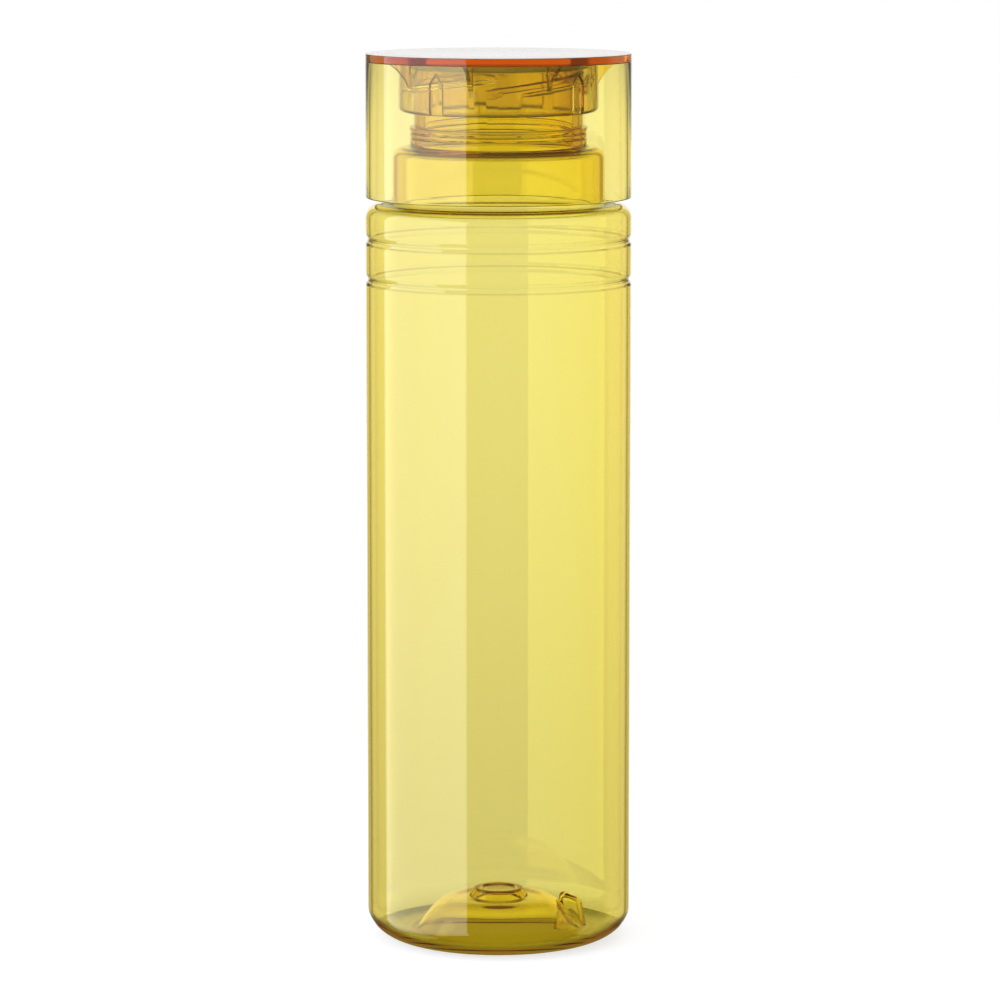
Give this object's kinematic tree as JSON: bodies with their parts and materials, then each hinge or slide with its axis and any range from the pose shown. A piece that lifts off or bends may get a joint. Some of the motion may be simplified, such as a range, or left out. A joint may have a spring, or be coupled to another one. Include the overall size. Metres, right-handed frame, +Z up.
{
  "type": "plastic water bottle",
  "caption": "Clear yellow single-wall drinking bottle with a rounded heel, grooves under the shoulder and a flush screw cap with a flat disc and a clear sleeve.",
  "frame": {"origin": "middle of the base, on the surface that the bottle stands on", "axes": "+Z up along the bottle's axis, -Y towards the front of the picture, +X to its right"},
  "size_m": [0.073, 0.073, 0.2455],
  "materials": {
    "bottle_clear": "clear yellow, polished",
    "cap_amber": "translucent amber, fine grain on the disc's top",
    "sleeve_clear": "clear yellow, polished",
    "seal_soft": "soft translucent white"
  },
  "bodies": {
    "bottle": {"bottle": "bottle_clear"},
    "seal": {"seal_ring": "seal_soft"},
    "cap": {"cap_core": "cap_amber", "cap_sleeve": "sleeve_clear"}
  },
  "joints": [
    {"name": "cap_lift", "type": "slide", "parent": "bottle", "child": "seal", "axis": [0, 0, 1], "range_m": [0, 0.0385]},
    {"name": "cap_turn", "type": "hinge", "parent": "seal", "child": "cap", "pos_m": [0, 0, 0.2455], "axis": [0, 0, 1], "range_deg": [0, 720]}
  ],
  "couplings": [
    {"joint": "cap_lift", "follows": "cap_turn", "m_per_rad": 0.0030558}
  ]
}
